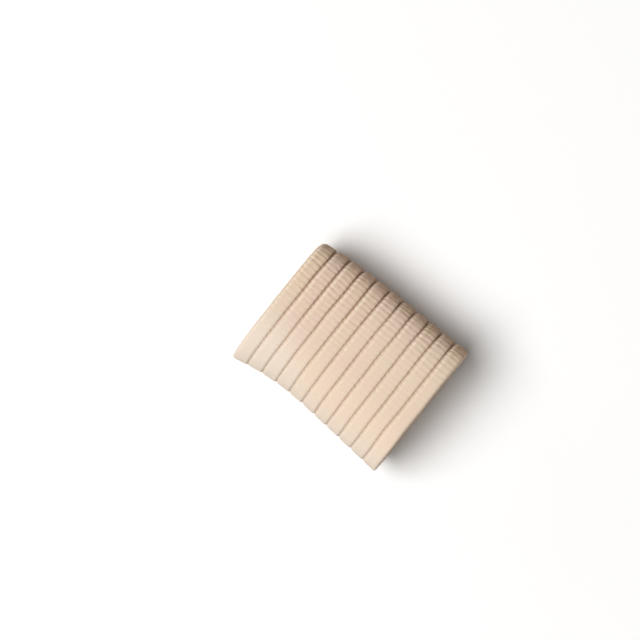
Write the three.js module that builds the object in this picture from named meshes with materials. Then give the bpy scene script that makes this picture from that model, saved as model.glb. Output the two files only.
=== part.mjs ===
// A pull-on wrist support: one tube of thick ribbed elastic cloth, resting on its palm side.
// Millimetres. +X runs from the hand end to the forearm end, +Y to the thumb side and +Z up, to the
// back of the hand. The origin is on the resting plane, under the middle of the sleeve.
import * as THREE from "three";

// Driving dimensions
const LENGTH = 80; // from the hand end to the forearm end
const RIB_COUNT = 11; // raised ribs, each a ring round the wrist
const GROOVE_WIDTH = 0.5; // floor of the groove between two ribs
const WEB_THICKNESS = 1.0; // cloth at the bottom of a groove
const RIB_RISE_THUMB = 1.6; // how far a rib stands above its grooves on the thumb side
const RIB_RISE_LITTLE = 0.6; // the same on the little finger side, where the cloth is pulled flatter
const INNER_RISE = 0.35; // how far a rib stands inwards of its webs
const PALM_SINK = 1.1; // how far the oval would reach below the resting plane if it weren't flat there
const CROWN_PRESS = 0.2; // how much the weight flattens the rib crowns that rest
const CLOTH = { color: 0xe6cfb8, roughness: 0.95, metalness: 0 };

// Outline over the rib crowns, a row for each section along the sleeve.
// station: distance from the hand end; halfWidth: half the width across the wrist;
// sway: how far the section's middle lies towards the thumb side; height: above the resting plane
const SECTIONS = [
  { station: 0, halfWidth: 32.4, sway: -0.8, height: 44.2 },
  { station: 14, halfWidth: 31.8, sway: 1.2, height: 44.2 },
  { station: 29, halfWidth: 31.65, sway: 1.9, height: 44.4 },
  { station: 51, halfWidth: 32.3, sway: 1.2, height: 45.2 },
  { station: 80, halfWidth: 33.35, sway: -0.1, height: 47.2 },
];

// How full the oval is on each side: 2 is an ellipse, and more is boxier.
const FULLNESS_BACK_THUMB = 3.4;
const FULLNESS_BACK_LITTLE = 2.1;
const FULLNESS_PALM = 3.0;
const FULLNESS_BLEND = 1; // the share of the half height over which back turns into palm

// A rib's own cross-section: flat on top, with a round shoulder along each edge.
const SHOULDER_HAND = 2.0; // width of the shoulder towards the hand
const SHOULDER_FOREARM = 0.9; // width of the shoulder towards the forearm, which is sharper

// Fineness of the facets
const COLUMNS = 44; // round the wrist
const OUTER_ROWS = 7; // across a rib, on the outside
const INNER_ROWS = 4; // across a rib, on the inside
const OUTLINE_SAMPLES = 192; // points of a section before they are spaced evenly

const RIB_WIDTH = (LENGTH - (RIB_COUNT - 1) * GROOVE_WIDTH) / RIB_COUNT;
const RIB_PITCH = RIB_WIDTH + GROOVE_WIDTH;

const SECTION_SIZES = ["halfWidth", "sway", "height"];
const sectionAt = new THREE.CubicInterpolant(
  SECTIONS.map((row) => row.station),
  SECTIONS.flatMap((row) => SECTION_SIZES.map((size) => row[size])),
  SECTION_SIZES.length,
);

function fullness(across, up) {
  const back = THREE.MathUtils.lerp(FULLNESS_BACK_LITTLE, FULLNESS_BACK_THUMB, (1 + across) / 2);
  const towardsBack = THREE.MathUtils.smoothstep(up, -FULLNESS_BLEND, FULLNESS_BLEND);
  return THREE.MathUtils.lerp(FULLNESS_PALM, back, towardsBack);
}

// One point of a section's oval, not yet flat underneath. The angle goes from the thumb side over the back.
function ovalPoint(angle, halfWidth, sway, height) {
  const across = Math.cos(angle);
  const up = Math.sin(angle);
  const power = 2 / fullness(across, up);
  const middle = height / 2;
  const reach = up > 0 ? height - middle : middle + PALM_SINK;
  return new THREE.Vector3(
    0,
    sway + halfWidth * Math.sign(across) * Math.abs(across) ** power,
    middle + reach * Math.sign(up) * Math.abs(up) ** power,
  );
}

// The outline over the rib crowns at a station: evenly spaced points with their outward normals.
function outlineAt(station) {
  const [halfWidth, sway, height] = sectionAt.evaluate(station);
  const oval = Array.from({ length: OUTLINE_SAMPLES }, (_, i) =>
    ovalPoint((2 * Math.PI * i) / OUTLINE_SAMPLES, halfWidth, sway, height),
  );
  const points = new THREE.CatmullRomCurve3(oval, true).getSpacedPoints(COLUMNS).slice(0, COLUMNS);
  points.forEach((point) => {
    point.x = station - LENGTH / 2;
    point.z = Math.max(point.z, -CROWN_PRESS);
  });
  return points.map((point, i) => {
    const along = points[(i + 1) % COLUMNS].clone().sub(points.at(i - 1));
    return { point, normal: new THREE.Vector3(0, along.z, -along.y).normalize() };
  });
}

// How high a rib is at a place across it, from -1 at its hand edge to 1 at its forearm edge.
// The height is 0 at the edges and 1 over the crown.
function ribHeight(across) {
  const shoulder = across < 0 ? SHOULDER_HAND : SHOULDER_FOREARM;
  const inset = (RIB_WIDTH * (1 - Math.abs(across))) / 2;
  const fall = THREE.MathUtils.clamp(1 - inset / shoulder, 0, 1);
  return Math.sqrt(1 - fall ** 2);
}

// Places across all the ribs, in order along the sleeve, closest together near a rib's edges.
function ribRows(rowsPerRib) {
  const rows = [];
  for (let rib = 0; rib < RIB_COUNT; rib++) {
    for (let k = 0; k < rowsPerRib; k++) {
      const across = Math.sin(Math.PI * (k / (rowsPerRib - 1) - 0.5));
      rows.push({
        station: rib * RIB_PITCH + (RIB_WIDTH * (1 + across)) / 2,
        rise: ribHeight(across),
      });
    }
  }
  return rows;
}

// How far a rib stands above its grooves, by the side of the wrist that the cloth faces.
function ribRise(normal) {
  return THREE.MathUtils.lerp(RIB_RISE_LITTLE, RIB_RISE_THUMB, (1 + normal.y) / 2);
}

function outerRing({ station, rise }) {
  return outlineAt(station).map(({ point, normal }) => {
    const depth = ribRise(normal) * (1 - rise);
    const placed = point.addScaledVector(normal, -depth);
    placed.z = Math.max(placed.z, 0);
    return placed;
  });
}

function innerRing({ station, rise }) {
  return outlineAt(station).map(({ point, normal }) =>
    point.addScaledVector(normal, -(ribRise(normal) + WEB_THICKNESS + INNER_RISE * rise)),
  );
}

// A closed skin through rings of points: each ring joins the next, and the last joins the first.
function skin(rings) {
  const index = [];
  rings.forEach((_, r) => {
    const here = r * COLUMNS;
    const next = ((r + 1) % rings.length) * COLUMNS;
    for (let c = 0; c < COLUMNS; c++) {
      const d = (c + 1) % COLUMNS;
      index.push(here + c, here + d, next + c);
      index.push(next + c, here + d, next + d);
    }
  });
  return new THREE.BufferGeometry().setFromPoints(rings.flat()).setIndex(index);
}

function ribbedSleeve() {
  const outside = ribRows(OUTER_ROWS).map(outerRing);
  const inside = ribRows(INNER_ROWS).map(innerRing).reverse();
  const geometry = skin([...outside, ...inside]);
  geometry.computeVertexNormals();
  geometry.computeBoundingBox();
  const { min, max } = geometry.boundingBox;
  const sleeve = new THREE.Mesh(geometry, new THREE.MeshStandardMaterial(CLOTH));
  sleeve.name = "ribbed_sleeve";
  sleeve.position.y = -(min.y + max.y) / 2;
  return sleeve;
}

const wristSupport = new THREE.Group();
wristSupport.name = "wrist_support";
wristSupport.add(ribbedSleeve());

export default wristSupport;
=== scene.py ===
"""A pull-on wrist support: a sleeve of ribbed elastic cloth on a pale floor, in soft studio light.

Sizes are in millimetres and angles in degrees, and MM turns millimetres into Blender's metres.
+X runs from the hand end to the forearm end, +Y to the thumb side and +Z up.
"""
import math
from collections import namedtuple

import bpy
import numpy as np
from mathutils import Matrix, Vector


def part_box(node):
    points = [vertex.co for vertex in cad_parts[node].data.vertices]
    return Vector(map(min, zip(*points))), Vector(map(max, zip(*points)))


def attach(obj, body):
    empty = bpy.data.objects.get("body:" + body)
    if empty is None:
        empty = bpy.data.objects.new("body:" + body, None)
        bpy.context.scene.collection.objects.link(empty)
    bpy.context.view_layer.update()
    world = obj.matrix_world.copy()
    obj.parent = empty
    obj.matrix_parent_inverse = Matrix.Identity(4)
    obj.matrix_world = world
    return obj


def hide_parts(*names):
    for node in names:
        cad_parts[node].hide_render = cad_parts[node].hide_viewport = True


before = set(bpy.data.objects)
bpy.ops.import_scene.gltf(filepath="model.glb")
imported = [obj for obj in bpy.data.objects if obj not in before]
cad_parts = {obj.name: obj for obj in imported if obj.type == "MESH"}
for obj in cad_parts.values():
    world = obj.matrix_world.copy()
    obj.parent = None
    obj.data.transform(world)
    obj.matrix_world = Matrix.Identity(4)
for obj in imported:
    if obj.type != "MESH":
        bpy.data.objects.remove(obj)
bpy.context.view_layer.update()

MM = 0.001
SEED = 7
NODE = "ribbed_sleeve"
PIECE = "sleeve_cloth"

# The sleeve's driving dimensions, which are those of the solid that it replaces
LENGTH = 80.0
RIB_COUNT = 11
GROOVE_WIDTH = 0.5
WEB_THICKNESS = 1.0
RIB_RISE_THUMB = 1.6
RIB_RISE_LITTLE = 0.6
INNER_RISE = 0.35
PALM_SINK = 1.1
CROWN_PRESS = 0.2
SHOULDER_HAND = 2.0
SHOULDER_FOREARM = 0.9
FULLNESS_BACK_THUMB = 3.4
FULLNESS_BACK_LITTLE = 2.1
FULLNESS_PALM = 3.0
RIB_WIDTH = (LENGTH - (RIB_COUNT - 1) * GROOVE_WIDTH) / RIB_COUNT
RIB_PITCH = RIB_WIDTH + GROOVE_WIDTH

# Outline over the rib crowns: distance from the hand end, half the width across the wrist,
# how far the middle lies towards the thumb side, and the height above the floor
Section = namedtuple("Section", "station half_width sway height")
SECTIONS = [
    Section(0.0, 32.4, -0.8, 44.2),
    Section(14.0, 31.8, 1.2, 44.2),
    Section(29.0, 31.65, 1.9, 44.4),
    Section(51.0, 32.3, 1.2, 45.2),
    Section(80.0, 33.35, -0.1, 47.2),
]
THUMB_EDGE = max(row.sway + row.half_width for row in SECTIONS)
PERIMETER = 178.0  # round the middle of the cloth
GATHER_SHIFT = 1.7  # how far the gathers move round for each millimetre that the thumb side draws in

# Ribs from the hand end: how far the deep gathers reach over the back, along the cloth from the thumb
# side, how deep they are as a share of GATHER_DEPTH, how pink the cloth is, and from where it is paler,
# which is partly stretch and partly painted sheen
Rib = namedtuple("Rib", "reach depth pinkness stretch")
RIBS = [
    Rib(41, 0.88, 0.0, 43),
    Rib(46, 0.66, 1.0, 44),
    Rib(46, 0.66, 0.8, 47),
    Rib(36, 0.75, 0.7, 53),
    Rib(44, 0.66, 0.4, 61),
    Rib(23, 0.95, 0.6, 62),
    Rib(21, 1.20, 0.6, 62),
    Rib(22, 0.95, 0.5, 62),
    Rib(24, 1.10, 0.4, 62),
    Rib(20, 1.50, 0.4, 61),
    Rib(20, 1.35, 0.2, 60),
]
# The paler cloth is partly stretch and partly painted sheen
STRETCH_SHEEN_FADE = 24.0  # the length over which the cloth turns paler

# Gathers, the folds across each rib where the relaxed cloth bunches up
GATHERS = 72  # round the sleeve
GATHER_UNEVENNESS = 0.10  # as a share of their pitch
GATHER_DEPTH = 0.38
GATHER_SHARPNESS = 1.3
GATHER_BEND = 0.10  # as a share of their pitch
GATHER_DEPTHS = 5  # places across a rib where a fold gets a depth of its own
GATHER_FADE = 34.0  # the length over which they fade
SMOOTH_SIDE_SHARE = 0.16  # of their depth, which is left on the little finger side

# Ripples between the gathers, deeper where the cloth is bunched tightest, near the thumb side
RIPPLES_PER_GATHER = 2
RIPPLE_DEPTH = 0.022
TIGHT_RIPPLE_DEPTH = 0.09
# The tight measure also darkens the thumb side of the cloth's colour with painted shade
TIGHT_REACH = 10.0
TIGHT_END = 22.0

# Puckers along a rib's edges, which go on where the gathers have faded
PUCKER_DEPTH = 0.07
PUCKER_WIDTH = 0.07
PUCKER_NARROWNESS = 4
PUCKER_OVERTONE = 0.5

# Beads of thread along a rib's hand edge, which also bring a painted highlight into the cloth's colour
BEADS_PER_GATHER = 3
BEAD_PLACE = -0.71  # across the rib, from -1 at its hand edge to 1 at its forearm edge
BEAD_SPREAD = 0.14
BEAD_HEIGHT = 0.06
SMALLEST_BEAD = 0.2
BEAD_SIZE_THUMB = 1.2  # how strong they are on the thumb side
BEAD_SIZE_LITTLE = 0.6  # and on the little finger side
BEAD_RUN = 0.5  # how far the gaps between beads fill up where the cloth is bunched

# Slow unevenness of the weave round the sleeve
GROOVE_WANDER = 0.16
WANDER_WAVES = 9
RIB_UNEVENNESS = 0.07
UNEVEN_WAVES = 7
WEAKEST_WAVE = 0.3

LIP_ROUND = 0.3  # how far the cloth's edge bulges at each end
# The grooves' darkness in the cloth's colour is painted shade
INNER_GROOVE_SHARE = 0.75  # how dark the grooves are on the inside

# Fineness of the mesh
COLUMNS_PER_GATHER = 8
COLUMNS = GATHERS * COLUMNS_PER_GATHER
OUTER_ROWS = 12
INNER_ROWS = 5
OUTLINE_SAMPLES = 1440

# Names of the sleeve's maps, in millimetres of cloth and for baking, and of the measures on its mesh
CLOTH_MAP = "cloth"
BAKE_MAP = "OFBake"
MEASURES = ("groove", "crease", "bead", "bunched", "tight", "stretched_sheen", "pinkness")

# The cloth's colours, linear
CLOTH_PINK = (0.715, 0.548, 0.452, 1.0)
CLOTH_CREAM = (0.692, 0.568, 0.428, 1.0)
# Paler cloth towards the little finger side: partly stretch, partly painted sheen
CLOTH_STRETCHED_SHEEN = (0.72, 0.625, 0.525, 1.0)
# Warmer cloth where it is bunched: painted warm shade, in the rib's pink and cream
CLOTH_BUNCHED_SHADE_PINK = (0.713, 0.529, 0.438, 1.0)
CLOTH_BUNCHED_SHADE_CREAM = (0.703, 0.556, 0.386, 1.0)
# Darker cloth between the threads: painted shade
CLOTH_THREAD_GAP_SHADE = (0.59, 0.45, 0.335, 1.0)
# Painted shade in the creases and crumples
CLOTH_CREASE_SHADE = (0.50, 0.37, 0.27, 1.0)
# Painted shade on the thumb side, where the cloth is bunched tightest
CLOTH_TIGHT_SHADE = (0.385, 0.205, 0.10, 1.0)
# Painted shade in the creases on the thumb side
CLOTH_TIGHT_CREASE_SHADE = (0.25, 0.14, 0.075, 1.0)
# Painted shade in the grooves, browner where the cloth is bunched
CLOTH_GROOVE_SHADE = (0.47, 0.35, 0.255, 1.0)
CLOTH_BUNCHED_GROOVE_SHADE = (0.38, 0.255, 0.165, 1.0)
# Painted highlight on the beads, duller on the thumb side
CLOTH_BEAD_HIGHLIGHT = (0.80, 0.675, 0.56, 1.0)
CLOTH_TIGHT_BEAD_HIGHLIGHT = (0.63, 0.48, 0.36, 1.0)

# How a measure of the cloth brings in a tint: where that starts, where it is full, and how strong it gets
Ramp = namedtuple("Ramp", "start full strength")
MOTTLE_RAMP = Ramp(0.35, 0.65, 0.5)
BUNCHED_SHADE_RAMP = Ramp(0.3, 1.0, 1.0)
CRUMPLE_SHADE_RAMP = Ramp(0.62, 0.38, 1.0)
THREAD_GAP_SHADE_RAMP = Ramp(0.1, -0.46, 0.75)
CREASE_SHADE_RAMP = Ramp(0.05, 0.7, 0.6)
GROOVE_SHADE_RAMP = Ramp(0.4, 0.95, 1.0)
GROOVE_SHADE_PATCH_RAMP = Ramp(0.35, 0.6, 0.4)
BUNCHED_GROOVE_SHADE_RAMP = Ramp(0.2, 1.0, 1.0)
BEAD_HIGHLIGHT_RAMP = Ramp(0.0, 0.9, 1.0)

# How strong the tints are that don't follow a ramp alone: the rib's pinkness, and the painted shade
# of crumples, of the thumb side and of the grooves
RIB_PINKNESS = 0.5
BUNCHED_CRUMPLE_SHADE = 0.3
TIGHT_SHADE = 0.38
TIGHT_CRUMPLE_SHADE = 0.2
GROOVE_SHADE = 0.32
BUNCHED_GROOVE_SHADE = 0.35

# Noise on the cloth and on the floor: its scale and its amount of fine detail
Noise = namedtuple("Noise", "scale detail")
MOTTLE = Noise(0.11, 3.0)
FUZZ = Noise(3.1, 3.0)
WRINKLE = Noise(1.0, 3.0)
THREAD_WAVE = Noise(0.6, 2.0)
GROOVE_PATCHES = Noise(0.7, 2.0)
FLOOR_CLOUD = Noise(6.0, 2.0)

# The threads, and the relief that a bump adds to the mesh
THREAD_PITCH = 0.5
THREAD_FLOAT = 1.7  # length of one stitch
THREAD_WAVINESS = 0.9
RIDGE_SHARE = 0.32
STITCH_SHARE = 0.14
FUZZ_SHARE = 0.8
TIGHT_WRINKLE_SHARE = 1.5
WRINKLE_SCALE = (1.1, 0.7, 1.0)  # wrinkles are longer along the sleeve than round it
BUMP_DEPTH = 0.05
BUMP_STRENGTH = 0.55

# The cloth's finish
LEAST_ROUGHNESS = 0.8
ROUGHNESS_SPREAD = 0.16
CLOTH_SPECULAR = 0.25
SHEEN_WEIGHT = 0.04
SHEEN_ROUGHNESS = 0.45
SHEEN_TINT = (1.0, 0.96, 0.92, 1.0)

# Floor
FLOOR_SIZE = 8000.0
FLOOR_GAP = 0.02  # between the floor and the sleeve
FLOOR_PALE = (0.87, 0.868, 0.862, 1.0)
FLOOR_PALER = (0.89, 0.888, 0.882, 1.0)
FLOOR_ROUGHNESS = 0.9
FLOOR_SPECULAR = 0.1

# Light: where each lamp stands round the sleeve, how big it is, its watts and its colour
LAMP_DISTANCE = 4000.0
Lamp = namedtuple("Lamp", "name azimuth elevation size power colour")
LAMPS = [
    Lamp("key", 231, 66, 2800, 217.0, (1.0, 1.0, 1.0)),
    Lamp("forearm", 0, 12, 1900, 32.0, (1.0, 0.95, 0.90)),
    Lamp("hand", 180, 12, 1900, 18.0, (1.0, 0.95, 0.90)),
    Lamp("glow", 110, 12, 1500, 3.0, (1.0, 0.5, 0.25)),
]
WORLD_COLOUR = (1.0, 1.0, 1.0, 1.0)
WORLD_STRENGTH = 0.02

# Camera: its lean from straight down, how far the sleeve is turned in the picture, how wide the picture is
# at the sleeve, and how far the sleeve lies right of the picture's middle and below it
VIEW_TILT = 3.0
AXIS_TURN = 38.55
PICTURE_WIDTH = 282.2
SLEEVE_RIGHT = 13.44
SLEEVE_BELOW = 15.38
SLEEVE_MIDDLE = Vector((0, 0, 23))
CAMERA_DISTANCE = 1600.0
CLIP_START = 50.0
CLIP_END = 20000.0
SENSOR = 36.0


def smoothstep(x, low, high):
    t = np.clip((x - low) / (high - low), 0, 1)
    return t * t * (3 - 2 * t)


def section_sizes(stations):
    """Half width, sway and height at each station, on a smooth curve through SECTIONS."""
    knots = np.array([row.station for row in SECTIONS])
    sizes = np.array([row[1:] for row in SECTIONS])
    secants = np.diff(sizes, axis=0) / np.diff(knots)[:, None]
    slopes = np.vstack([secants[:1], (secants[:-1] + secants[1:]) / 2, secants[-1:]])
    i = np.clip(np.searchsorted(knots, stations) - 1, 0, len(knots) - 2)
    span = (knots[i + 1] - knots[i])[:, None]
    p = (stations - knots[i])[:, None] / span
    starts = (1 + 2 * p) * (1 - p) ** 2 * sizes[i] + p * (1 - p) ** 2 * span * slopes[i]
    ends = p**2 * (3 - 2 * p) * sizes[i + 1] - p**2 * (1 - p) * span * slopes[i + 1]
    return starts + ends


def fullness(across, up):
    """How full the oval is by the side it faces: 2 is an ellipse, and more is boxier."""
    back = FULLNESS_BACK_LITTLE + (FULLNESS_BACK_THUMB - FULLNESS_BACK_LITTLE) * (1 + across) / 2
    return FULLNESS_PALM + (back - FULLNESS_PALM) * smoothstep(up, -1, 1)


def outline(stations, shares):
    """Points (y, z) over the rib crowns and their outward normals, a row for each station.

    Stations are a column. A share is how far round the outline a point is, from the thumb side
    over the back.
    """
    half_width, sway, height = (column[:, None] for column in section_sizes(stations[:, 0]).T)
    angle = np.linspace(0, 2 * np.pi, OUTLINE_SAMPLES + 1)
    across, up = np.cos(angle), np.sin(angle)
    power = 2 / fullness(across, up)
    reach = np.where(up > 0, height / 2, height / 2 + PALM_SINK)
    y = sway + half_width * np.sign(across) * np.abs(across) ** power
    z = np.maximum(height / 2 + reach * np.sign(up) * np.abs(up) ** power, -CROWN_PRESS)
    steps = np.hypot(np.diff(y, axis=1), np.diff(z, axis=1))
    run = np.hstack([np.zeros((len(steps), 1)), np.cumsum(steps, axis=1)])
    run /= run[:, -1:]
    starts = GATHER_SHIFT * (half_width + sway - THUMB_EDGE) / PERIMETER
    points = np.empty(shares.shape + (2,))
    for row, share in enumerate((shares + starts) % 1):
        points[row, :, 0] = np.interp(share, run[row], y[row])
        points[row, :, 1] = np.interp(share, run[row], z[row])
    along = np.roll(points, -1, axis=1) - np.roll(points, 1, axis=1)
    normals = np.stack([along[..., 1], -along[..., 0]], axis=-1)
    return points, normals / np.linalg.norm(normals, axis=-1, keepdims=True)


def slow_waves(rng, rows, waves):
    """Rows of slow random waves round the sleeve, each between -1 and 1."""
    turn = np.linspace(0, 2 * np.pi, COLUMNS, endpoint=False)
    total = np.zeros((rows, COLUMNS))
    for wave in range(1, waves + 1):
        weight = rng.uniform(WEAKEST_WAVE, 1.0, (rows, 1))
        phase = rng.uniform(0, 2 * np.pi, (rows, 1))
        total += weight * np.cos(wave * turn + phase)
    return total / np.abs(total).max(axis=1, keepdims=True)


def column_shares(rng):
    """How far round each column lies at each groove and end, a little unevenly."""
    even = np.arange(GATHERS + 1)
    borders = even + GATHER_UNEVENNESS * rng.uniform(-1, 1, (RIB_COUNT + 1, GATHERS + 1))
    borders[:, 0] = 0
    borders[:, -1] = GATHERS
    place = np.arange(COLUMNS) / COLUMNS_PER_GATHER
    return np.array([np.interp(place, even, border) for border in borders]) / GATHERS


def rib_places(rows):
    """Places across a rib, from -1 at its hand edge to 1 at its forearm edge, closest at the edges."""
    return np.sin(np.pi * (np.arange(rows) / (rows - 1) - 0.5))


def rib_profile(places):
    """How high a rib is across its width: 0 at the edges and 1 over the flat crown."""
    shoulder = np.where(places < 0, SHOULDER_HAND, SHOULDER_FOREARM)
    inset = RIB_WIDTH / 2 * (1 - np.abs(places))
    return np.sqrt(1 - np.clip(1 - inset / shoulder, 0, 1) ** 2)


def groove_share(stations, profile):
    """How deep in a groove a place is: 1 on its floor, 0 on the crowns and at the sleeve's ends."""
    between = np.abs(stations - LENGTH / 2) < (LENGTH - RIB_WIDTH) / 2
    return (1 - profile) * between


def rib_rise(normals):
    """How far a rib stands above its grooves, by the side of the wrist that the cloth faces."""
    return RIB_RISE_LITTLE + (RIB_RISE_THUMB - RIB_RISE_LITTLE) * (1 + normals[..., 0]) / 2


def from_thumb(shares):
    """How far a place is from the middle of the thumb side, along the cloth, in millimetres."""
    return np.minimum(shares, 1 - shares) * PERIMETER


def bunching(rib, shares):
    """How deep the gathers are, as a share: 1 on the thumb side and less on the little finger side."""
    fade = smoothstep((from_thumb(shares) - rib.reach) / GATHER_FADE, -0.5, 0.5)
    return 1 - (1 - SMOOTH_SIDE_SHARE) * fade


def folds(rng, phase, places):
    """Folds across a rib, one at each whole phase, each with a bend and a depth that changes along it."""
    nearest = np.round(phase).astype(int) % GATHERS
    bend = rng.uniform(-GATHER_BEND, GATHER_BEND, GATHERS)[nearest]
    bent = phase + bend * np.cos(np.pi * places)
    deepest = rng.uniform(0, 1, (GATHERS, GATHER_DEPTHS))
    across = np.linspace(-1, 1, GATHER_DEPTHS)
    depth = np.array([np.interp(places[:, 0], across, row) for row in deepest]).T
    return depth[:, nearest] * (1 - np.abs(np.sin(np.pi * bent))) ** GATHER_SHARPNESS


def beads(rng, phase, places, shares, bunched):
    """Raised beads of uneven size along a rib's hand edge, which run together where it is bunched."""
    turn = phase * BEADS_PER_GATHER
    count = GATHERS * BEADS_PER_GATHER
    size = rng.uniform(SMALLEST_BEAD, 1, count)[np.floor(turn).astype(int) % count] ** 2
    bead = size * np.abs(np.sin(np.pi * turn))
    edge = np.exp(-(((places - BEAD_PLACE) / BEAD_SPREAD) ** 2))
    to_little = 2 * from_thumb(shares) / PERIMETER
    side = BEAD_SIZE_THUMB + (BEAD_SIZE_LITTLE - BEAD_SIZE_THUMB) * to_little
    return side * edge * (bead + BEAD_RUN * bunched * (1 - bead))


def ripples(phase, places, bunched, tight):
    """Fine even waves round a rib, in millimetres."""
    depth = RIPPLE_DEPTH * (1 + bunched) / 2 + (TIGHT_RIPPLE_DEPTH - RIPPLE_DEPTH) * tight
    return depth * np.cos(2 * np.pi * RIPPLES_PER_GATHER * (phase + GATHER_BEND * places))


def puckers(phase, places):
    """Small waves along a rib's two edges, which die out towards its crown."""
    wave = -np.cos(2 * np.pi * phase) - PUCKER_OVERTONE * np.cos(4 * np.pi * phase)
    return places**PUCKER_NARROWNESS * wave


def outer_rings(rng, shares_at):
    """The outside of the cloth, from the hand end to the forearm end, with its gathers."""
    places = rib_places(OUTER_ROWS)[:, None]
    profile = rib_profile(places)
    across = smoothstep(places, -1, 1)
    wander = GROOVE_WANDER * slow_waves(rng, RIB_COUNT + 1, WANDER_WAVES)
    swell = RIB_UNEVENNESS * slow_waves(rng, RIB_COUNT, UNEVEN_WAVES)
    rings = []
    for i, rib in enumerate(RIBS):
        stations = i * RIB_PITCH + RIB_WIDTH * (1 + places) / 2
        shares = shares_at[i] * (1 - across) + shares_at[i + 1] * across
        points, normals = outline(stations, shares)
        bunched = bunching(rib, shares)
        tight = 1 - smoothstep(from_thumb(shares), TIGHT_REACH, TIGHT_END)

        phase = (np.arange(COLUMNS) + rng.integers(COLUMNS_PER_GATHER)) / COLUMNS_PER_GATHER
        crease = bunched * rib.depth * folds(rng, phase, places)
        bead = beads(rng, phase, places, shares, bunched)
        pucker = puckers(phase, places)

        relief = profile * (ripples(phase, places, bunched, tight) + PUCKER_DEPTH * pucker)
        relief = relief + BEAD_HEIGHT * bead - GATHER_DEPTH * np.sqrt(profile) * crease
        depth = rib_rise(normals) * (1 - profile * (1 + swell[i])) - relief
        yz = points - normals * depth[..., None]
        drift = wander[i] * (1 - across) + wander[i + 1] * across
        drift = drift + PUCKER_WIDTH * pucker * np.sign(places)
        rings.append({
            "x": stations - LENGTH / 2 + drift,
            "y": yz[..., 0],
            "z": np.maximum(yz[..., 1], 0),
            "share": shares,
            "groove": np.broadcast_to(groove_share(stations, profile), shares.shape),
            "crease": crease,
            "bead": bead,
            "bunched": bunched,
            "tight": tight,
            # Paler towards the little finger side: partly stretch, partly painted sheen
            "stretched_sheen": smoothstep((from_thumb(shares) - rib.stretch) / STRETCH_SHEEN_FADE, 0, 1),
            "pinkness": np.full(shares.shape, rib.pinkness),
        })
    return {name: np.concatenate([ring[name] for ring in rings]) for name in rings[0]}


def inner_rings(shares_at):
    """The inside of the cloth, from the forearm end to the hand end, on half as many columns."""
    places = np.tile(rib_places(INNER_ROWS), RIB_COUNT)[::-1, None]
    ribs = np.repeat(np.arange(RIB_COUNT), INNER_ROWS)[::-1, None]
    stations = ribs * RIB_PITCH + RIB_WIDTH * (1 + places) / 2
    along = stations / LENGTH
    shares = shares_at[0, ::2] * (1 - along) + shares_at[-1, ::2] * along
    points, normals = outline(stations, shares)
    profile = rib_profile(places)
    depth = rib_rise(normals) + WEB_THICKNESS + INNER_RISE * profile
    yz = points - normals * depth[..., None]
    rings = {
        "x": stations - LENGTH / 2,
        "y": yz[..., 0],
        "z": yz[..., 1],
        "share": shares,
        "groove": INNER_GROOVE_SHARE * groove_share(stations, profile),
        "crease": 0.0,
        "bead": 0.0,
        "bunched": SMOOTH_SIDE_SHARE,
        "tight": 0.0,
        "stretched_sheen": 0.0,
        "pinkness": np.array([rib.pinkness for rib in RIBS])[ribs],
    }
    return {name: np.broadcast_to(values, shares.shape) for name, values in rings.items()}


def lip_ring(outer, inner, outer_row, inner_row, push):
    """A ring half way between the outside and the inside at one end, pushed out to round the edge."""
    ring = {}
    for name, values in outer.items():
        doubled = np.repeat(inner[name][inner_row], 2)
        inside = (doubled + np.roll(doubled, -1)) / 2
        ring[name] = ((values[outer_row] + inside) / 2)[None, :]
    ring["x"] = ring["x"] + push
    ring["share"] = outer["share"][outer_row][None, :]
    return ring


def cloth_blocks():
    """The rings of the whole cloth, in four blocks: outside, forearm lip, inside and hand lip."""
    rng = np.random.default_rng(SEED)
    shares_at = column_shares(rng)
    outer = outer_rings(rng, shares_at)
    inner = inner_rings(shares_at)
    forearm_lip = lip_ring(outer, inner, -1, 0, LIP_ROUND)
    hand_lip = lip_ring(outer, inner, 0, -1, -LIP_ROUND)
    return [outer, forearm_lip, inner, hand_lip]


def ring_runs(blocks):
    """How far along the cloth each ring lies, out over the outside and back over the inside."""
    runs = []
    run = 0.0
    last = None
    for block in blocks:
        places = np.stack([block[name] for name in "xyz"], axis=-1)
        rows = []
        for ring in places:
            if last is not None:
                columns = min(len(ring), len(last))
                gap = ring[:: len(ring) // columns] - last[:: len(last) // columns]
                run += np.linalg.norm(gap, axis=1).mean()
            rows.append(run)
            last = ring
        runs.append(np.array(rows))
    return runs


def wrapped(values, step=0):
    """Rings with their first column once more at the end, a step on."""
    return np.hstack([values, values[:, :1] + step])


def lay_corners(blocks):
    """A wrapped grid of corners for each block, and one more for the outside's first ring at the end.

    With the grids come each corner's vertex, and its place on the cloth: a share round and a run along.
    """
    first_ring = {name: values[:1] for name, values in blocks[0].items()}
    loop = [*blocks, first_ring]
    grids, vertices, places = [], [], []
    vertex_count = 0
    corner_count = 0
    for block, run in zip(loop, ring_runs(loop)):
        rows, columns = block["share"].shape
        start = 0 if block is first_ring else vertex_count
        vertices.append(wrapped(start + np.arange(rows * columns).reshape(rows, columns)).ravel())
        vertex_count += rows * columns
        shares = wrapped(block["share"], 1)
        grids.append(corner_count + np.arange(shares.size).reshape(shares.shape))
        corner_count += shares.size
        places.append(np.stack([shares.ravel(), np.repeat(run, columns + 1)], axis=-1))
    return grids, np.concatenate(vertices), np.concatenate(places)


def strip(grid):
    """Four-sided faces between the neighbouring rings of a wrapped grid of corners."""
    corners = grid[:-1, :-1], grid[:-1, 1:], grid[1:, 1:], grid[1:, :-1]
    return np.stack(corners, axis=-1).reshape(-1, 4)


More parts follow.
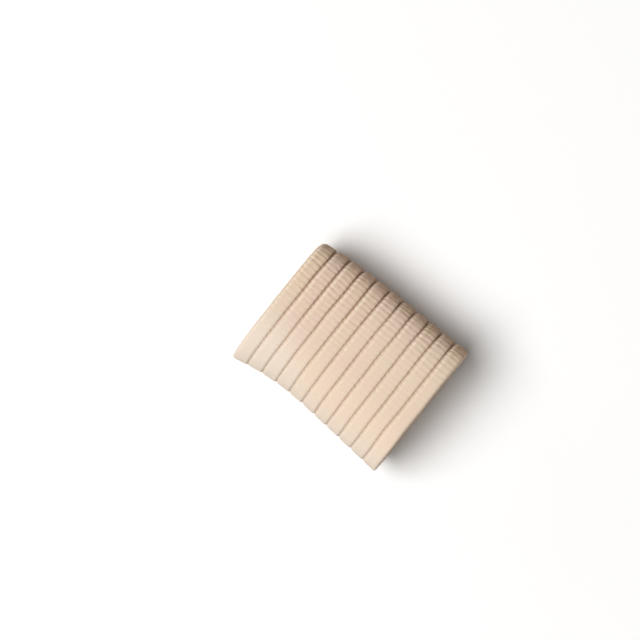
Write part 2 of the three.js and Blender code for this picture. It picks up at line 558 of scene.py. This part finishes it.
def fan(fine, coarse, fine_first):
    """Triangles between a wrapped ring of corners and one with half as many columns."""
    even, odd, after = fine[:-1:2], fine[1::2], fine[2::2]
    here, there = coarse[:-1], coarse[1:]
    if fine_first:
        faces = (even, odd, here), (odd, there, here), (odd, after, there)
    else:
        faces = (here, there, odd), (here, odd, even), (there, after, odd)
    return np.concatenate([np.stack(face, axis=-1) for face in faces])


def cloth_faces(grids):
    """The corners of the four-sided faces and of the three-sided faces, all round the cloth."""
    outside, forearm_lip, inside, hand_lip, outside_again = grids
    strips = np.vstack([outside, forearm_lip]), inside, np.vstack([hand_lip, outside_again])
    fans = fan(forearm_lip[0], inside[0], True), fan(hand_lip[0], inside[-1], False)
    return np.concatenate([strip(grid) for grid in strips]), np.concatenate(fans)


def add_map(mesh, name, places):
    layer = mesh.uv_layers.new(name=name)
    layer.uv.foreach_set("vector", places.astype(np.float32).ravel())


def sleeve_mesh():
    """The whole cloth as one closed skin, with its flat places in maps and its measures in attributes."""
    blocks = cloth_blocks()
    grids, vertex_of, place_of = lay_corners(blocks)
    four_sided, three_sided = cloth_faces(grids)
    values = {name: np.concatenate([block[name].ravel() for block in blocks]) for name in blocks[0]}
    low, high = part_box(NODE)
    middle = (low.y + high.y) / (2 * MM)
    values["y"] = values["y"] - (values["y"].min() + values["y"].max()) / 2 + middle
    points = np.stack([values[name] for name in "xyz"], axis=-1) * MM

    mesh = bpy.data.meshes.new(PIECE)
    mesh.from_pydata(points, [], vertex_of[four_sided].tolist() + vertex_of[three_sided].tolist())
    mesh.shade_smooth()
    flat = place_of[np.concatenate([four_sided.ravel(), three_sided.ravel()])]
    add_map(mesh, CLOTH_MAP, flat * [PERIMETER, 1])
    add_map(mesh, BAKE_MAP, flat / [1, place_of[:, 1].max()])
    for name in MEASURES:
        measure = mesh.attributes.new(name, "FLOAT", "POINT")
        measure.data.foreach_set("value", values[name].astype(np.float32))
    return mesh


class Nodes:
    """A material's node tree, with short calls that add a node and wire it up."""

    def __init__(self, material):
        material.use_nodes = True
        self.tree = material.node_tree

    def wire(self, socket, value):
        if isinstance(value, bpy.types.NodeSocket):
            self.tree.links.new(value, socket)
        else:
            socket.default_value = value

    def add(self, kind, inputs, output=0, **settings):
        node = self.tree.nodes.new(kind)
        for name, value in settings.items():
            setattr(node, name, value)
        for name, value in inputs.items():
            self.wire(node.inputs[name], value)
        return node.outputs[output]

    def math(self, operation, *values):
        return self.add("ShaderNodeMath", dict(enumerate(values)), operation=operation)

    def ramp(self, value, ramp):
        inputs = {
            "Value": value,
            "From Min": ramp.start,
            "From Max": ramp.full,
            "To Max": ramp.strength,
        }
        return self.add("ShaderNodeMapRange", inputs, interpolation_type="SMOOTHSTEP")

    def mix(self, share, start, end):
        node = self.tree.nodes.new("ShaderNodeMix")
        node.data_type = "RGBA"
        colour_inputs = {socket.name: socket for socket in node.inputs if socket.enabled}
        for name, value in {"Factor": share, "A": start, "B": end}.items():
            self.wire(colour_inputs[name], value)
        return next(socket for socket in node.outputs if socket.enabled)

    def noise(self, place, noise):
        inputs = {"Vector": place, "Scale": noise.scale, "Detail": noise.detail}
        return self.add("ShaderNodeTexNoise", inputs)

    def attribute(self, name):
        return self.add("ShaderNodeAttribute", {}, output="Fac", attribute_name=name)

    def shade(self, inputs):
        shader = self.tree.nodes["Principled BSDF"]
        for name, value in inputs.items():
            self.wire(shader.inputs[name], value)


def weave_height(n, place):
    """Threads across the ribs, each a row of stitches, with every second row half a stitch on."""
    around = n.add("ShaderNodeSeparateXYZ", {0: place}, output="X")
    along = n.add("ShaderNodeSeparateXYZ", {0: place}, output="Y")
    wave = n.math("MULTIPLY", n.noise(place, THREAD_WAVE), THREAD_WAVINESS)
    thread = n.math("ADD", n.math("DIVIDE", around, THREAD_PITCH), wave)
    ridge = n.math("COSINE", n.math("MULTIPLY", thread, 2 * math.pi))
    half_steps = n.math("MULTIPLY", n.math("MODULO", n.math("FLOOR", thread), 2.0), 0.5)
    stitch = n.math("ADD", n.math("DIVIDE", along, THREAD_FLOAT), half_steps)
    dash = n.math("COSINE", n.math("MULTIPLY", stitch, 2 * math.pi))
    return n.math("ADD", n.math("MULTIPLY", ridge, RIDGE_SHARE), n.math("MULTIPLY", dash, STITCH_SHARE))


def plain_colour(n, place, bunched):
    """The cloth's colour by rib, paler by stretch and painted sheen, warmer by painted shade where
    bunched.
    """
    mottle = n.ramp(n.noise(place, MOTTLE), MOTTLE_RAMP)
    pinkness = n.math("ADD", n.math("MULTIPLY", n.attribute("pinkness"), RIB_PINKNESS), mottle)
    colour = n.mix(pinkness, CLOTH_CREAM, CLOTH_PINK)
    # Painted sheen, with stretch, makes the cloth paler towards the little finger side
    colour = n.mix(n.attribute("stretched_sheen"), colour, CLOTH_STRETCHED_SHEEN)
    # Painted warm shade where the cloth is bunched
    bunched_shade_colour = n.mix(pinkness, CLOTH_BUNCHED_SHADE_CREAM, CLOTH_BUNCHED_SHADE_PINK)
    return n.mix(n.ramp(bunched, BUNCHED_SHADE_RAMP), colour, bunched_shade_colour)


def groove_shade(n, place, bunched):
    """How strong the painted shade in the grooves is, in patches and stronger where the cloth is bunched.
    """
    patches = n.ramp(n.noise(place, GROOVE_PATCHES), GROOVE_SHADE_PATCH_RAMP)
    shade = n.math("ADD", n.math("MULTIPLY", bunched, BUNCHED_GROOVE_SHADE), patches)
    shade = n.math("ADD", shade, GROOVE_SHADE)
    return n.math("MULTIPLY", n.ramp(n.attribute("groove"), GROOVE_SHADE_RAMP), shade)


def cloth_colour(n, place, weave, wrinkle, bunched, tight):
    """The cloth's colour with painted shade in its thread gaps, creases and grooves, and painted bead
    highlights.
    """
    # Painted shade in the crumples, darker where the cloth is bunched
    crumple_shade = n.ramp(wrinkle, CRUMPLE_SHADE_RAMP)
    bunched_crumple_shade = n.math("MULTIPLY", crumple_shade, n.math("MULTIPLY", bunched, BUNCHED_CRUMPLE_SHADE))
    # Painted shade on the thumb side, patchy with the crumples
    tight_shade = n.math("ADD", n.math("MULTIPLY", crumple_shade, TIGHT_CRUMPLE_SHADE), TIGHT_SHADE)
    crease_shade_colour = n.mix(tight, CLOTH_CREASE_SHADE, CLOTH_TIGHT_CREASE_SHADE)
    # Painted shade in the grooves
    groove_shade_colour = n.mix(n.ramp(bunched, BUNCHED_GROOVE_SHADE_RAMP), CLOTH_GROOVE_SHADE, CLOTH_BUNCHED_GROOVE_SHADE)
    # Painted highlight on the beads, duller on the thumb side
    bead_highlight_colour = n.mix(tight, CLOTH_BEAD_HIGHLIGHT, CLOTH_TIGHT_BEAD_HIGHLIGHT)
    colour = n.mix(bunched_crumple_shade, plain_colour(n, place, bunched), CLOTH_CREASE_SHADE)
    # Painted shade in the gaps between threads
    colour = n.mix(n.ramp(weave, THREAD_GAP_SHADE_RAMP), colour, CLOTH_THREAD_GAP_SHADE)
    colour = n.mix(n.math("MULTIPLY", tight_shade, tight), colour, CLOTH_TIGHT_SHADE)
    # Painted shade in the creases of the gathers
    colour = n.mix(n.ramp(n.attribute("crease"), CREASE_SHADE_RAMP), colour, crease_shade_colour)
    colour = n.mix(groove_shade(n, place, bunched), colour, groove_shade_colour)
    return n.mix(n.ramp(n.attribute("bead"), BEAD_HIGHLIGHT_RAMP), colour, bead_highlight_colour)


def cloth_material():
    """Beige elastic cloth: fine threads across the ribs, browner in the grooves and creases by painted
    shade.
    """
    material = bpy.data.materials.new("elastic_cloth")
    n = Nodes(material)
    place = n.add("ShaderNodeUVMap", {}, uv_map=CLOTH_MAP)
    bunched = n.attribute("bunched")
    tight = n.attribute("tight")
    weave = weave_height(n, place)
    fuzz = n.noise(place, FUZZ)
    wrinkle_place = n.add("ShaderNodeVectorMath", {0: place, 1: WRINKLE_SCALE}, operation="MULTIPLY")
    wrinkle = n.noise(wrinkle_place, WRINKLE)
    wrinkled = n.math("ADD", bunched, n.math("MULTIPLY", tight, TIGHT_WRINKLE_SHARE))
    height = n.math("ADD", weave, n.math("MULTIPLY", fuzz, FUZZ_SHARE))
    height = n.math("ADD", height, n.math("MULTIPLY", wrinkle, wrinkled))
    bump = {"Height": height, "Strength": BUMP_STRENGTH, "Distance": BUMP_DEPTH * MM}
    n.shade({
        "Base Color": cloth_colour(n, place, weave, wrinkle, bunched, tight),
        "Roughness": n.math("ADD", n.math("MULTIPLY", fuzz, ROUGHNESS_SPREAD), LEAST_ROUGHNESS),
        "Normal": n.add("ShaderNodeBump", bump),
        "Specular IOR Level": CLOTH_SPECULAR,
        "Sheen Weight": SHEEN_WEIGHT,
        "Sheen Roughness": SHEEN_ROUGHNESS,
        "Sheen Tint": SHEEN_TINT,
    })
    return material


def floor_material():
    """Pale paper, very slightly cloudy."""
    material = bpy.data.materials.new("floor_paper")
    n = Nodes(material)
    place = n.add("ShaderNodeTexCoord", {}, output="Object")
    n.shade({
        "Base Color": n.mix(n.noise(place, FLOOR_CLOUD), FLOOR_PALE, FLOOR_PALER),
        "Roughness": FLOOR_ROUGHNESS,
        "Specular IOR Level": FLOOR_SPECULAR,
    })
    return material


def make_sleeve():
    sleeve = bpy.data.objects.new(PIECE, sleeve_mesh())
    bpy.context.scene.collection.objects.link(sleeve)
    sleeve.data.materials.append(cloth_material())
    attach(sleeve, "root")
    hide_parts(NODE)


def make_floor():
    half = FLOOR_SIZE / 2 * MM
    mesh = bpy.data.meshes.new("floor")
    corners = [(-half, -half), (half, -half), (half, half), (-half, half)]
    mesh.from_pydata([(x, y, -FLOOR_GAP * MM) for x, y in corners], [], [(0, 1, 2, 3)])
    mesh.materials.append(floor_material())
    floor = bpy.data.objects.new("floor", mesh)
    bpy.context.scene.collection.objects.link(floor)


def make_lamp(row):
    """A square soft light that faces the sleeve."""
    azimuth = math.radians(row.azimuth)
    level = math.cos(math.radians(row.elevation))
    height = math.sin(math.radians(row.elevation))
    way = Vector((math.cos(azimuth) * level, math.sin(azimuth) * level, height))
    light = bpy.data.lights.new(row.name, "AREA")
    light.size = row.size * MM
    light.energy = row.power
    light.color = row.colour
    lamp = bpy.data.objects.new(row.name, light)
    lamp.location = (SLEEVE_MIDDLE + way * LAMP_DISTANCE) * MM
    lamp.rotation_mode = "QUATERNION"
    lamp.rotation_quaternion = way.to_track_quat("Z", "Y")
    lamp.visible_camera = False
    bpy.context.scene.collection.objects.link(lamp)


def make_world():
    world = bpy.data.worlds.new("studio")
    world.use_nodes = True
    background = world.node_tree.nodes["Background"]
    background.inputs["Color"].default_value = WORLD_COLOUR
    background.inputs["Strength"].default_value = WORLD_STRENGTH
    bpy.context.scene.world = world


def make_camera():
    """Looks down on the back of the sleeve, and places it in the picture as the photograph does."""
    tilt = math.radians(VIEW_TILT)
    towards = Vector((math.sin(tilt), 0, math.cos(tilt)))
    turn = math.radians(AXIS_TURN)
    right = Vector((math.cos(turn), math.sin(turn), 0))
    right = (right - towards * right.dot(towards)).normalized()
    up = towards.cross(right)
    data = bpy.data.cameras.new("camera")
    data.sensor_width = SENSOR
    data.lens = SENSOR * CAMERA_DISTANCE / PICTURE_WIDTH
    data.clip_start = CLIP_START * MM
    data.clip_end = CLIP_END * MM
    camera = bpy.data.objects.new("camera", data)
    aim = SLEEVE_MIDDLE - right * SLEEVE_RIGHT + up * SLEEVE_BELOW
    turned = Matrix((right, up, towards)).transposed().to_4x4()
    camera.matrix_world = Matrix.Translation((aim + towards * CAMERA_DISTANCE) * MM) @ turned
    bpy.context.scene.collection.objects.link(camera)
    bpy.context.scene.camera = camera


make_camera()
make_sleeve()
make_floor()
make_world()
for lamp_row in LAMPS:
    make_lamp(lamp_row)
bpy.context.scene.view_settings.view_transform = "Standard"
